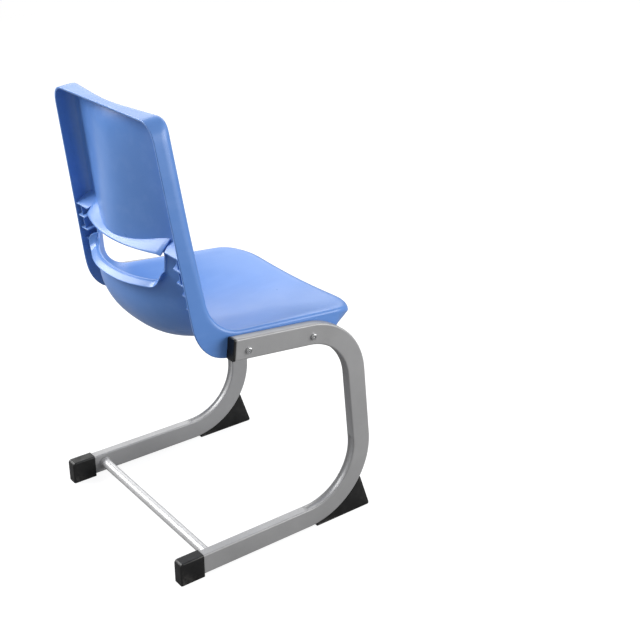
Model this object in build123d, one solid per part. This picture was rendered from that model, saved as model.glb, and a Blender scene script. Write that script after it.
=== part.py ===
"""Student desk chair: a one-piece moulded seat shell bolted between two bent C-shaped tube side frames.

Millimetres. +Z is up and the sitter faces -Y, so +X is the sitter's left.
The origin is on the floor, at the centre of the footprint.
"""

import math
import os

from build123d import *

# Overall layout
FRAME_WIDTH = 440.0          # over the outer faces of the two side frames
FRAME_DEPTH = 433.0          # rear face of the rear foot caps to the front of the wedge feet
REAR_Y = FRAME_DEPTH / 2

# Side frame: rectangular steel tube, bent twice
TUBE_WIDTH = 20.0
TUBE_HEIGHT = 40.0
TUBE_CORNER = 3.0
TUBE_WALL = 1.5
FLOOR_GAP = 4.0              # under the floor rail, held up by the feet
RAIL_LENGTH = 283.0
FOOT_BEND_RADIUS = 125.0     # on the tube's centreline
FOOT_BEND_ANGLE = 95.9
LEG_LENGTH = 145.0
ARM_BEND_RADIUS = 118.0
ARM_BEND_ANGLE = 78.4
ARM_LENGTH = 161.0

# Rear cross tube, butt welded between the floor rails
CROSS_TUBE_RADIUS = 9.5
CROSS_TUBE_WALL = 1.2
CROSS_TUBE_FROM_REAR = 72.0
WELD_LEG = 3.0

# Rear foot caps, sleeved over the ends of the floor rails
CAP_WIDTH = 24.0
CAP_TOP = 46.0
CAP_LENGTH = 49.0
CAP_END_WALL = 4.0
CAP_EDGE = 3.0
CAP_TOP_EDGE = 7.0

# Wedge feet, under the foot bends
WEDGE_TIP_HEIGHT = 72.0      # where the front face meets the bend
WEDGE_LENGTH = 128.0
WEDGE_NOSE = 5.0             # upright part of the front face, at the floor
WEDGE_EDGE = 3.0
WEDGE_SCREW_FROM_FRONT = 92.0
WEDGE_SCREW_RADIUS = 2.0
WEDGE_SCREW_HEAD_RADIUS = 4.0
WEDGE_SCREW_HEAD_HEIGHT = 2.2
WEDGE_SCREW_RECESS = 3.5
WEDGE_SCREW_LENGTH = 16.0

# Arm end plugs
PLUG_FLANGE = 4.0
PLUG_LIP = 0.6               # how far the flange stands outside the tube
PLUG_DEPTH = 18.0
PLUG_WALL = 2.0

# Seat bolts: M6 pan heads through the arms into inserts in the shell
BOLTS_FROM_ARM_END = (27.0, 166.0)
BOLT_BELOW_CENTRE = 3.5
BOLT_RADIUS = 3.0
BOLT_HEAD_RADIUS = 6.0
BOLT_HEAD_HEIGHT = 4.0
BOLT_LENGTH = 42.0
RECESS_WIDTH = 1.2
RECESS_SPAN = 6.0
RECESS_DEPTH = 2.2
BOLT_HOLE_RADIUS = 3.3
INSERT_RADIUS = 4.5
INSERT_LENGTH = 14.0
BOSS_RADIUS = 8.0
BOSS_LENGTH = 20.0

# Seat shell: a 4 mm sheet with a turned-back skirt all round
SHEET = 4.0
END_EDGE = 0.3               # the end walls stop this short, where their rounded corners vanish
PAN_STEPS = 6
FRONT_Y = -213.0
SEAT_SLOPE = 4.5             # degrees, the seat rim rises to the rear
RIM_CORNER_RADIUS = 65.0     # seat rim to back rim, in side view
RIM_CORNER_Y = 58.6          # where the seat rim starts to turn up
RIM_CORNER_Z = 451.0
RECLINE = 7.2                # degrees
BACK_LENGTH = 323.0          # straight part of the back rim
PLAN_CORNER_RADIUS = 72.0    # front corners of the seat
TOP_CORNER_RADIUS = 30.0

# Rear grip and lumbar opening, as distances along the rim from the front edge
OPENING_HALF_WIDTH = 115.0
OPENING_BOTTOM = 394.0
OPENING_TOP = 455.0
OPENING_CORNER = 24.0
LEDGE_AT = 460.0
LEDGE_HALF_WIDTH = 140.0
LEDGE_WIDTH = 14.0
LEDGE_END_WIDTH = 20.0
LIP_WIDTH = 12.0
LIP_THICKNESS = 3.5
LIP_STATIONS = (-10.0, 12.0, 36.0)   # cross-sections of the lip, from the bottom of the opening
OPENING_REACH = 110.0        # how far the cut for the opening goes through
RIB_PITCH = 25.0
RIB_COUNT = 5
RIB_THICKNESS = 2.4
RIB_INSET = 1.5              # in front of the skirt's free edge
RIB_REACH = 26.0
LEDGE_RIB_REACH = 40.0
RIB_TAPER = 10.0
WEB_INSET = 14.0             # from the skirt to the upright web

CLEARANCE = 0.1              # between parts that slide together
SIDES = {"left": 1, "right": -1}

RAIL_Z = FLOOR_GAP + TUBE_HEIGHT / 2
FRAME_X = FRAME_WIDTH / 2 - TUBE_WIDTH / 2
RAIL_START_Y = REAR_Y - CAP_END_WALL
FOOT_BEND_Y = RAIL_START_Y - RAIL_LENGTH
FOOT_BEND_Z = RAIL_Z + FOOT_BEND_RADIUS
CROSS_TUBE_Y = REAR_Y - CROSS_TUBE_FROM_REAR
WEDGE_SCREW_Y = WEDGE_SCREW_FROM_FRONT - REAR_Y
BOLT_TIP_X = FRAME_WIDTH / 2 - BOLT_LENGTH
SHELL_HALF_WIDTH = FRAME_X - TUBE_WIDTH / 2 - CLEARANCE

# The rim in side view: seat line, corner arc, back line
SEAT_RISE = math.radians(SEAT_SLOPE)
BACK_LEAN = math.radians(RECLINE)
CORNER_TURN = math.pi / 2 - SEAT_RISE - BACK_LEAN
SEAT_RUN = (RIM_CORNER_Y - FRONT_Y) / math.cos(SEAT_RISE)
CORNER_RUN = RIM_CORNER_RADIUS * CORNER_TURN
BACK_FROM = SEAT_RUN + CORNER_RUN
RIM_RUN = BACK_FROM + BACK_LENGTH

# How deep the sheet is dished below its rim, and how deep the skirt hangs, along the rim
DISH = [(0, 5), (55, 13), (135, 29), (215, 43), (272, 50), (300, 60), (325, 66), (348, 67),
        (372, 65), (400, 61.5), (454, 54), (555, 41), (640, 30), (RIM_RUN, 10)]
SKIRT = [(0, 13), (20, 28), (50, 37), (135, 46), (272, 47), (290, 50), (304, 54), (325, 48.5),
         (348, 39), (361, 36.7), (RIM_RUN, 36.7)]
HALF_WIDTH = [(0, SHELL_HALF_WIDTH), (272, SHELL_HALF_WIDTH), (335, 194.5), (RIM_RUN, 170.5)]
CROWN = [(0, 0.9), (330, 0.9), (400, 0.5), (460, 0.3), (RIM_RUN, 0.3)]   # large is a round dish, small is a V
FULLNESS = [(0, 1.0), (250, 1.0), (320, 1.3), (400, 1.3), (470, 1.0), (RIM_RUN, 1.0)]   # above 1 is a fuller bucket
ROLL = [(0, 9), (300, 9), (400, 13), (500, 18), (RIM_RUN, 20)]   # radius of the rolled rim

# Where the sheet's cross-sections are lofted: past the front edge, along the middle, short of the top
FRONT_STATIONS = [SHEET, 8, 14, 22, 34, 50, PLAN_CORNER_RADIUS]
MIDDLE_STATIONS = [PLAN_CORNER_RADIUS, 100, 135, 175, 215, 245, 272, 290, 304, 317, 330, 348, 361,
                   374, 386, 402, 418, 454, 500, 555, 610, RIM_RUN - TOP_CORNER_RADIUS]
TOP_STATIONS = [RIM_RUN - d for d in (TOP_CORNER_RADIUS, 20, 12, 7, SHEET)]


def along(pairs, s):
    """Smooth value at distance s, from (distance, value) pairs, that never overshoots them."""
    s = min(max(s, pairs[0][0]), pairs[-1][0])
    slopes = [(b[1] - a[1]) / (b[0] - a[0]) for a, b in zip(pairs, pairs[1:])]
    inner = [2 * p * q / (p + q) if p * q > 0 else 0.0 for p, q in zip(slopes, slopes[1:])]
    tangents = [slopes[0]] + inner + [slopes[-1]]
    i = max(k for k in range(len(slopes)) if pairs[k][0] <= s)
    gap = pairs[i + 1][0] - pairs[i][0]
    u = (s - pairs[i][0]) / gap
    start = (1 + 2 * u) * (1 - u) ** 2 * pairs[i][1] + u * (1 - u) ** 2 * gap * tangents[i]
    end = u * u * (3 - 2 * u) * pairs[i + 1][1] + u * u * (u - 1) * gap * tangents[i + 1]
    return start + end


def rim_station(s):
    """Rim crest (y, z) at distance s, and the unit direction from the dish up to the rim."""
    if s <= SEAT_RUN:
        step = s - SEAT_RUN
        turn = 0.0
        y = RIM_CORNER_Y + step * math.cos(SEAT_RISE)
        z = RIM_CORNER_Z + step * math.sin(SEAT_RISE)
    else:
        turn = min((s - SEAT_RUN) / RIM_CORNER_RADIUS, CORNER_TURN)
        centre_y = RIM_CORNER_Y - RIM_CORNER_RADIUS * math.sin(SEAT_RISE)
        centre_z = RIM_CORNER_Z + RIM_CORNER_RADIUS * math.cos(SEAT_RISE)
        past = max(s - BACK_FROM, 0.0)
        y = centre_y + RIM_CORNER_RADIUS * math.sin(SEAT_RISE + turn) + past * math.sin(BACK_LEAN)
        z = centre_z - RIM_CORNER_RADIUS * math.cos(SEAT_RISE + turn) + past * math.cos(BACK_LEAN)
    angle = SEAT_RISE + turn
    return y, z, (-math.sin(angle), math.cos(angle))


def rim_plane(s):
    """Cross-section plane at distance s: local x is X, local y points from the dish to the rim."""
    y, z, (up_y, up_z) = rim_station(s)
    return Plane(origin=(0, y, z), x_dir=(1, 0, 0), z_dir=(0, -up_z, up_y))


def dish_depth(s, x, half_width):
    """Depth of the sheet's upper face below the rim, at distance x from the middle."""
    crown = along(CROWN, s)
    t = min(abs(x) / (half_width - along(ROLL, s)), 1.0)
    rise = (math.hypot(crown, t) - crown) / (math.hypot(crown, 1) - crown)
    return along(DISH, s) * (1 - rise ** along(FULLNESS, s))


def corner_inset(distance, radius):
    """How far a rounded corner of this radius draws the edge in, at a distance from the end."""
    if distance >= radius:
        return 0.0
    return radius - math.sqrt(max(radius ** 2 - (radius - distance) ** 2, 0.0))


def half_widths(s):
    """Half widths of the skirt's outer and inner faces at distance s, with rounded plan corners."""
    width = along(HALF_WIDTH, s)
    outer = corner_inset(s, PLAN_CORNER_RADIUS)
    inner = corner_inset(s - SHEET, PLAN_CORNER_RADIUS - SHEET)
    outer += corner_inset(RIM_RUN - s, TOP_CORNER_RADIUS)
    inner += corner_inset(RIM_RUN - s - SHEET, TOP_CORNER_RADIUS - SHEET)
    return width - outer, width - SHEET - inner


def sheet_curve(s, skirt_x, drop):
    """Edges of one face of the sheet, from the foot of one skirt over both rims to the other."""
    width = half_widths(s)[0]
    foot = -along(SKIRT, s)
    rim_roll = along(ROLL, s)
    roll = rim_roll - drop
    ends = skirt_x - roll
    bend_x = ends + roll * math.sqrt(0.5)
    bend_y = roll * math.sqrt(0.5) - rim_roll
    pan = []
    for step in range(-PAN_STEPS, PAN_STEPS + 1):
        t = step / PAN_STEPS
        pan.append((ends * t, -drop - dish_depth(s, (width - rim_roll) * t, width)))
    return [
        Line((-skirt_x, foot), (-skirt_x, -rim_roll)),
        ThreePointArc((-skirt_x, -rim_roll), (-bend_x, bend_y), pan[0]),
        Spline(*pan),
        ThreePointArc(pan[-1], (bend_x, bend_y), (skirt_x, -rim_roll)),
        Line((skirt_x, -rim_roll), (skirt_x, foot)),
    ]


def shell_section(s):
    """Closed C-shaped section through the sheet and both skirts."""
    outer_x, inner_x = half_widths(s)
    foot = -along(SKIRT, s)
    edges = sheet_curve(s, outer_x, 0.0) + sheet_curve(s, inner_x, SHEET)
    for side in SIDES.values():
        edges.append(Line((side * outer_x, foot), (side * inner_x, foot)))
    return rim_plane(s) * make_face(edges)


def wall_section(s):
    """Section filled from the dish down to the foot of the skirts, for the end walls."""
    outer_x = half_widths(s)[0]
    foot = -along(SKIRT, s)
    edges = sheet_curve(s, outer_x, 0.0)
    edges.append(Line((-outer_x, foot), (outer_x, foot)))
    return rim_plane(s) * make_face(edges)


def shell_sheet():
    """The dished sheet with its skirts and its end walls."""
    body = loft([shell_section(s) for s in MIDDLE_STATIONS])
    body += loft([shell_section(s) for s in FRONT_STATIONS], ruled=True)
    body += loft([shell_section(s) for s in TOP_STATIONS], ruled=True)
    body += loft([wall_section(END_EDGE), wall_section(SHEET)], ruled=True)
    body += loft([wall_section(RIM_RUN - SHEET), wall_section(RIM_RUN - END_EDGE)], ruled=True)
    return body


def panel_points(s, limit, offset):
    """Points across the back of the sheet at distance s, each this far behind its upper face."""
    width = half_widths(s)[0]
    xs = [limit * step / PAN_STEPS for step in range(-PAN_STEPS, PAN_STEPS + 1)]
    return [(x, -dish_depth(s, x, width) - offset(abs(x))) for x in xs]


def panel_band(s, limit, depth):
    """Face from inside the sheet to a depth behind it, as wide as the limit to each side."""
    inner = panel_points(s, limit, lambda x: SHEET / 2)
    outer = panel_points(s, limit, lambda x: SHEET + depth(x))
    ends = [Line(inner[0], outer[0]), Line(inner[-1], outer[-1])]
    return rim_plane(s) * make_face([Spline(*inner), Spline(*outer)] + ends)


def opening_prism(grow):
    """Prism through the back with the outline of the lumbar opening, larger by grow."""
    y, z, (up_y, up_z) = rim_station((OPENING_BOTTOM + OPENING_TOP) / 2)
    plane = Plane(origin=(0, y, z), x_dir=(1, 0, 0), z_dir=(0, up_y, up_z))
    height = OPENING_TOP - OPENING_BOTTOM
    outline = Rectangle(2 * (OPENING_HALF_WIDTH + grow), height + 2 * grow)
    rows = outline.vertices().group_by(Axis.Y)
    outline = fillet(rows[0], OPENING_CORNER + grow)
    return extrude(plane * outline, amount=-OPENING_REACH)


def ledge_depth(x):
    """How far the grip ledge stands behind the sheet."""
    return LEDGE_WIDTH + (LEDGE_END_WIDTH - LEDGE_WIDTH) * (x / LEDGE_HALF_WIDTH) ** 2


def grip_ledge():
    """Curved grip along the top of the lumbar opening."""
    return extrude(panel_band(LEDGE_AT, LEDGE_HALF_WIDTH, ledge_depth), amount=SHEET)


def opening_lip():
    """Turned-out lip along the bottom and the sides of the lumbar opening."""
    stations = [OPENING_BOTTOM + step for step in LIP_STATIONS] + [LEDGE_AT]
    reach = OPENING_HALF_WIDTH + 2 * LIP_THICKNESS
    band = loft([panel_band(s, reach, lambda x: LIP_WIDTH) for s in stations])
    return band & (opening_prism(LIP_THICKNESS) - opening_prism(0))


def side_rib(s, side, reach):
    """Flat rib between the skirt and the back of the sheet."""
    width, inner = half_widths(s)
    foot = RIB_INSET - along(SKIRT, s)
    tip_x = inner - reach
    root_x = tip_x - RIB_TAPER
    points = [
        (inner + SHEET / 2, -along(ROLL, s)),
        (inner + SHEET / 2, foot),
        (tip_x, foot),
        (root_x, -dish_depth(s, root_x, width) - SHEET / 2),
        (tip_x, -dish_depth(s, tip_x, width) - SHEET / 2),
    ]
    outline = make_face(Polyline(*[(side * x, y) for x, y in points], close=True))
    return extrude(rim_plane(s) * outline, amount=RIB_THICKNESS)


def side_web(side):
    """Upright web that ties the side ribs together."""
    low = LEDGE_AT - (RIB_COUNT - 1) * RIB_PITCH
    x = half_widths((low + LEDGE_AT) / 2)[1] - WEB_INSET
    front_points = []
    rear_points = []
    for index in range(RIB_COUNT):
        s = low + index * RIB_PITCH
        y, z, (up_y, up_z) = rim_station(s)
        depth = dish_depth(s, x, half_widths(s)[0]) + SHEET / 2
        foot = along(SKIRT, s) - 2 * RIB_INSET
        front_points.append((side * x, y - up_y * depth, z - up_z * depth))
        rear_points.append((side * x, y - up_y * foot, z - up_z * foot))
    outline = make_face(Polyline(*front_points, *reversed(rear_points), close=True))
    return extrude(outline, amount=RIB_THICKNESS / 2, dir=(1, 0, 0), both=True)


def seat_shell():
    """One-piece moulding: sheet, skirts, lumbar opening, grip, ribs and bolt bosses."""
    shell = shell_sheet() - opening_prism(0)
    shell += grip_ledge()
    shell += opening_lip()
    for side in SIDES.values():
        shell += side_rib(LEDGE_AT, side, LEDGE_RIB_REACH)
        for index in range(1, RIB_COUNT):
            shell += side_rib(LEDGE_AT - index * RIB_PITCH, side, RIB_REACH)
        shell += side_web(side)
    for side in SIDES.values():
        for y, z in bolt_places():
            shell += across(side, SHELL_HALF_WIDTH - BOSS_LENGTH, BOSS_LENGTH - SHEET / 2, BOSS_RADIUS, y, z)
    for side in SIDES.values():
        for y, z in bolt_places():
            pocket = INSERT_RADIUS + CLEARANCE / 2
            shell -= across(side, SHELL_HALF_WIDTH - INSERT_LENGTH, INSERT_LENGTH + 1, pocket, y, z)
            shell -= across(side, BOLT_TIP_X - 1, INSERT_LENGTH, BOLT_HOLE_RADIUS, y, z)
    return shell


def across(side, start_x, length, radius, y, z):
    """Cylinder along X, from start_x outwards on one side."""
    plane = Plane(origin=(side * start_x, y, z), z_dir=(side, 0, 0))
    return extrude(plane * Circle(radius), amount=length)


def frame_path(side):
    """Centreline of a side frame, from the rear of the floor rail round to the rear of the arm."""
    x = side * FRAME_X
    rail_end = (x, FOOT_BEND_Y, RAIL_Z)
    rail = Line((x, RAIL_START_Y, RAIL_Z), rail_end)
    plane = Plane(origin=(x, 0, 0), x_dir=(0, -1, 0), z_dir=(-1, 0, 0))
    edges = [rail]
    heading = 0.0
    for length, radius, angle in (
        (0, FOOT_BEND_RADIUS, FOOT_BEND_ANGLE),
        (LEG_LENGTH, ARM_BEND_RADIUS, ARM_BEND_ANGLE),
        (ARM_LENGTH, 0, 0),
    ):
        start = plane.to_local_coords(edges[-1] @ 1)
        ahead = (math.cos(heading), math.sin(heading))
        here = (start.X + length * ahead[0], start.Y + length * ahead[1])
        if length:
            edges.append(plane * Line((start.X, start.Y), here))
        if radius:
            centre = (here[0] - radius * ahead[1], here[1] + radius * ahead[0])
            first = math.degrees(heading) - 90
            edges.append(plane * CenterArc(centre, radius, first, angle))
            heading += math.radians(angle)
    return Wire(edges)


def arm_end(side):
    """Plane of the arm's open end, facing rearwards, with local y across the tube's height."""
    path = frame_path(side)
    return Plane(origin=path @ 1, x_dir=(1, 0, 0), z_dir=path % 1)


def bolt_places():
    """Centres (y, z) of the two seat bolts of each arm."""
    end = arm_end(1)
    rear, down = end.z_dir, Vector(0, end.z_dir.Z, -end.z_dir.Y)
    centres = [end.origin - rear * run + down * BOLT_BELOW_CENTRE for run in BOLTS_FROM_ARM_END]
    return [(centre.Y, centre.Z) for centre in centres]


def tube_profile(inset):
    """Rounded outline of the frame tube, shrunk by inset all round."""
    radius = max(TUBE_CORNER - inset, 0.5)
    return RectangleRounded(TUBE_WIDTH - 2 * inset, TUBE_HEIGHT - 2 * inset, radius)


def side_frame(side):
    """Bent tube: floor rail, foot bend, leg, arm bend and arm, with its drilled holes."""
    path = frame_path(side)
    start = Plane(origin=path @ 0, x_dir=(1, 0, 0), z_dir=path % 0)
    tube = sweep(start * (tube_profile(0) - tube_profile(TUBE_WALL)), path=path)
    for y, z in bolt_places():
        tube -= across(side, FRAME_X - TUBE_WIDTH, 2 * TUBE_WIDTH, BOLT_HOLE_RADIUS, y, z)
    screw = Pos(side * FRAME_X, WEDGE_SCREW_Y, 0)
    return tube - screw * extrude(Circle(WEDGE_SCREW_RADIUS + CLEARANCE), amount=RAIL_Z)


def rear_cross_tube():
    """Round tube between the two floor rails."""
    length = 2 * FRAME_X - TUBE_WIDTH
    plane = Plane(origin=(-length / 2, CROSS_TUBE_Y, RAIL_Z), z_dir=(1, 0, 0))
    ring = Circle(CROSS_TUBE_RADIUS) - Circle(CROSS_TUBE_RADIUS - CROSS_TUBE_WALL)
    return extrude(plane * ring, amount=length)


def weld_bead(side):
    """Fillet weld round one end of the cross tube."""
    face_x = side * (FRAME_X - TUBE_WIDTH / 2)
    axis = Axis((0, CROSS_TUBE_Y, RAIL_Z), (1, 0, 0))
    edge = CROSS_TUBE_Y - CROSS_TUBE_RADIUS
    corners = [(face_x, edge), (face_x, edge - WELD_LEG), (face_x - side * WELD_LEG, edge)]
    outline = make_face(Polyline(*[(x, y, RAIL_Z) for x, y in corners], close=True))
    return revolve(outline, axis)


def rear_foot_cap(side):
    """Moulded sleeve over the rear end of a floor rail."""
    block = Box(CAP_WIDTH, CAP_LENGTH, CAP_TOP, align=(Align.CENTER, Align.MAX, Align.MIN))
    rear_edges = block.edges().filter_by(Axis.X).group_by(Axis.Y)[-1].sort_by(Axis.Z)
    block = fillet(rear_edges[-1], CAP_TOP_EDGE)
    upright = block.edges().filter_by(Axis.Z).group_by(Axis.Y)[-1]
    block = fillet(upright, CAP_EDGE)
    block = Pos(side * FRAME_X, REAR_Y, 0) * block
    gap = 2 * CLEARANCE
    pocket = Box(TUBE_WIDTH + gap, CAP_LENGTH, TUBE_HEIGHT + gap)
    return block - Pos(side * FRAME_X, RAIL_START_Y + CLEARANCE - CAP_LENGTH / 2, RAIL_Z) * pocket


def bend_underside(z):
    """Y of the front of the foot bend's outer face, just clear of it, at height z."""
    radius = FOOT_BEND_RADIUS + TUBE_HEIGHT / 2 + CLEARANCE
    return FOOT_BEND_Y - math.sqrt(radius ** 2 - (FOOT_BEND_Z - z) ** 2)


def wedge_foot(side):
    """Solid wedge that fills between the foot bend and the floor."""
    radius = FOOT_BEND_RADIUS + TUBE_HEIGHT / 2 + CLEARANCE
    heel_y = WEDGE_LENGTH - REAR_Y
    heel_z = FOOT_BEND_Z - math.sqrt(radius ** 2 - (heel_y - FOOT_BEND_Y) ** 2)
    tip = (bend_underside(WEDGE_TIP_HEIGHT), WEDGE_TIP_HEIGHT)
    heel_turn = math.atan2(heel_z - FOOT_BEND_Z, heel_y - FOOT_BEND_Y)
    tip_turn = math.atan2(tip[1] - FOOT_BEND_Z, tip[0] - FOOT_BEND_Y)
    turn = (heel_turn + tip_turn) / 2
    middle = (FOOT_BEND_Y + radius * math.cos(turn), FOOT_BEND_Z + radius * math.sin(turn))
    outline = make_face([
        Line((-REAR_Y, 0), (heel_y, 0)),
        Line((heel_y, 0), (heel_y, heel_z)),
        ThreePointArc((heel_y, heel_z), middle, tip),
        Line(tip, (-REAR_Y, WEDGE_NOSE)),
        Line((-REAR_Y, WEDGE_NOSE), (-REAR_Y, 0)),
    ])
    wedge = extrude(Plane.YZ * outline, amount=TUBE_WIDTH / 2, both=True)
    toe = wedge.edges().filter_by(Axis.X).group_by(Axis.Z)[0].sort_by(Axis.Y)[0]
    wedge = fillet(toe, WEDGE_EDGE)
    wedge -= Pos(0, WEDGE_SCREW_Y, 0) * extrude(Circle(WEDGE_SCREW_RADIUS + CLEARANCE), amount=RAIL_Z)
    recess = Circle(WEDGE_SCREW_HEAD_RADIUS + CLEARANCE)
    wedge -= Pos(0, WEDGE_SCREW_Y, 0) * extrude(recess, amount=WEDGE_SCREW_RECESS + WEDGE_SCREW_HEAD_HEIGHT)
    return Pos(side * FRAME_X, 0, 0) * wedge


def wedge_foot_screw(side):
    """Self-tapping screw up through a wedge foot into the tube."""
    shank = extrude(Circle(WEDGE_SCREW_RADIUS), amount=WEDGE_SCREW_LENGTH)
    head = extrude(Circle(WEDGE_SCREW_HEAD_RADIUS), amount=WEDGE_SCREW_HEAD_HEIGHT)
    slots = Rectangle(RECESS_WIDTH, RECESS_SPAN) + Rectangle(RECESS_SPAN, RECESS_WIDTH)
    recess = extrude(slots, amount=WEDGE_SCREW_HEAD_HEIGHT / 2)
    return Pos(side * FRAME_X, WEDGE_SCREW_Y, WEDGE_SCREW_RECESS) * (shank + head - recess)


def arm_end_plug(side):
    """Push-in plug with a flange that closes the open end of an arm."""
    flange = extrude(tube_profile(-PLUG_LIP), amount=PLUG_FLANGE)
    flange = fillet(flange.faces().sort_by(Axis.Z)[-1].edges(), PLUG_FLANGE / 3)
    bore = TUBE_WALL + CLEARANCE
    skirt = extrude(tube_profile(bore) - tube_profile(bore + PLUG_WALL), amount=-PLUG_DEPTH)
    return arm_end(side).location * (flange + skirt)


def seat_bolt(side, place):
    """Pan-head screw with a cross recess, through the arm into the shell's insert."""
    y, z = place
    face_x = FRAME_WIDTH / 2
    bolt = across(side, face_x - BOLT_LENGTH, BOLT_LENGTH, BOLT_RADIUS, y, z)
    head = across(side, face_x, BOLT_HEAD_HEIGHT, BOLT_HEAD_RADIUS, y, z)
    rim = head.edges().sort_by(Axis.X)[-1 if side > 0 else 0]
    head = fillet(rim, BOLT_HEAD_HEIGHT / 2)
    plane = Plane(origin=(side * (face_x + BOLT_HEAD_HEIGHT), y, z), z_dir=(side, 0, 0))
    slots = Rectangle(RECESS_WIDTH, RECESS_SPAN) + Rectangle(RECESS_SPAN, RECESS_WIDTH)
    return bolt + head - extrude(plane * slots, amount=-RECESS_DEPTH)


def seat_insert(side, place):
    """Threaded bush moulded into a boss of the shell."""
    y, z = place
    start = SHELL_HALF_WIDTH - INSERT_LENGTH
    body = across(side, start, INSERT_LENGTH, INSERT_RADIUS, y, z)
    return body - across(side, start - 1, INSERT_LENGTH + 2, BOLT_RADIUS + CLEARANCE / 2, y, z)


def build():
    """Every piece of the chair, by name."""
    parts = {"seat_shell": seat_shell(), "rear_cross_tube": rear_cross_tube()}
    for name, side in SIDES.items():
        parts[f"{name}_side_frame"] = side_frame(side)
        parts[f"{name}_cross_tube_weld"] = weld_bead(side)
        parts[f"{name}_rear_foot_cap"] = rear_foot_cap(side)
        parts[f"{name}_wedge_foot"] = wedge_foot(side)
        parts[f"{name}_wedge_foot_screw"] = wedge_foot_screw(side)
        parts[f"{name}_arm_end_plug"] = arm_end_plug(side)
        for where, place in zip(("rear", "front"), bolt_places()):
            parts[f"{name}_{where}_seat_bolt"] = seat_bolt(side, place)
            parts[f"{name}_{where}_seat_insert"] = seat_insert(side, place)
    return parts


os.makedirs("parts", exist_ok=True)
for node, solid in build().items():
    export_step(solid, f"parts/{node}.step")
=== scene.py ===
"""Looks of the student desk chair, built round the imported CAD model.

Lengths are millimetres, and place() or the factor MM turns them into metres. +X is the sitter's left,
the front faces -Y and the floor is at z = 0. The shell is drawn on a flat map: x across, s the distance
along its rim from the front edge of the seat to the top of the back, and a depth below the rim's plane.
"""

import math

import bmesh
import bpy
import numpy as np
from mathutils import Matrix, Vector


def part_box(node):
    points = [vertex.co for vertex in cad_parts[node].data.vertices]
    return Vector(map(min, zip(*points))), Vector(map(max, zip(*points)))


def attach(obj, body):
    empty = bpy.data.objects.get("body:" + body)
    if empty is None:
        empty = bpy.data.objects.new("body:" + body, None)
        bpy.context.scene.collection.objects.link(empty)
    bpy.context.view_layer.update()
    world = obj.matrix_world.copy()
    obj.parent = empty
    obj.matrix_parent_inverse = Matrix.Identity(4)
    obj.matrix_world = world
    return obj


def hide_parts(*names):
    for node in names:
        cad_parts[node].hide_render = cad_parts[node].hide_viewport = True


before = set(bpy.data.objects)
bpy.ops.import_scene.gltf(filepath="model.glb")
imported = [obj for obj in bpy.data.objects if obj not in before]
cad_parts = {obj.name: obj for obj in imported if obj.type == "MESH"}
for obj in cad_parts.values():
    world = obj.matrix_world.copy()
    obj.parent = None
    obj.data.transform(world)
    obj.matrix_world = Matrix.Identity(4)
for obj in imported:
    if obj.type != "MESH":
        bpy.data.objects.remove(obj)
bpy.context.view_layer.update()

MM = 0.001
BODY = "root"
SIDES = {"left": 1, "right": -1}


# ---------------------------------------------------------------- places taken from the frame

def node_box_mm(node):
    """Lowest and highest corner of a CAD node."""
    low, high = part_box(node)
    return low / MM, high / MM


SHELL_HALF_WIDTH = node_box_mm("seat_shell")[1].x
TUBE_LOW, TUBE_HIGH = node_box_mm("left_side_frame")
CROSS_LOW, CROSS_HIGH = node_box_mm("rear_cross_tube")
CROSS_RADIUS = (CROSS_HIGH.z - CROSS_LOW.z) / 2

# ---------------------------------------------------------------- side frame

TUBE_WIDTH = TUBE_HIGH.x - TUBE_LOW.x
TUBE_HEIGHT = 40.0
TUBE_CORNER = 3.0
FRAME_X = (TUBE_HIGH.x + TUBE_LOW.x) / 2
RAIL_START_Y = TUBE_HIGH.y
RAIL_Z = TUBE_LOW.z + TUBE_HEIGHT / 2
RAIL_LENGTH = 283.0
FOOT_BEND = (125.0, math.radians(95.9))     # centreline radius, turn
LEG_LENGTH = 145.0
ARM_BEND = (118.0, math.radians(78.4))
ARM_LENGTH = 161.0
STATION_GAP = 3.2

DENT_DEPTH = 3.6              # how far bending presses the inner wall in
DENT_PAST = 9.0               # how far the dent runs on past the bend
DENT_FADE = 15.0
DENT_REACH = 30.0             # beyond this from the bend there is no dent
DENT_HALF_WIDTH = 7.2
DENT_FLATNESS = 3.2           # higher is a flatter floor across the tube
DENT_POINTS = (6.2, 5.2, 4.0, 2.0, 0.0, -2.0, -4.0, -5.2, -6.2)
PINCH_DEPTH = 1.5             # the sharper mark at each end of the bend
PINCH_LENGTH = 5.5
PINCH_PAST = 1.0
CORNER_POINTS = 6
FLAT_INSET = 0.8              # mesh lines just inside the flats' ends
FLAT_POINT = 6.0

BEAD_RADIUS = 2.15
BEAD_LIFT = 0.35              # of the bead's centre above the cross tube
BEAD_BACK = 0.55              # of the bead's centre behind the weld's outer face
BEAD_OUT_LIMIT = 2.6
BEAD_FACE_LIMIT = 0.5

# ---------------------------------------------------------------- seat shell

SHEET = 4.0
FRONT_Y = -213.0
SEAT_RISE = math.radians(4.5)
BACK_LEAN = math.radians(7.2)
RIM_CORNER_RADIUS = 65.0
RIM_CORNER_Y = 58.6
RIM_CORNER_Z = 451.0
BACK_LENGTH = 323.0
CORNER_TURN = math.pi / 2 - SEAT_RISE - BACK_LEAN
SEAT_RUN = (RIM_CORNER_Y - FRONT_Y) / math.cos(SEAT_RISE)
BACK_FROM = SEAT_RUN + RIM_CORNER_RADIUS * CORNER_TURN
RIM_RUN = BACK_FROM + BACK_LENGTH
PLAN_CORNER_RADIUS = 72.0     # front corners of the seat
TOP_CORNER_RADIUS = 30.0

# The lists below are (distance s, value) pairs.
# depth of the middle of the sitter's face
DISH = [(0, 3), (55, 13), (135, 29), (215, 43), (272, 50), (300, 60), (325, 66), (348, 67),
        (372, 65), (400, 61.5), (454, 54), (555, 41), (640, 30), (660, 24), (RIM_RUN, 10)]
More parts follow.
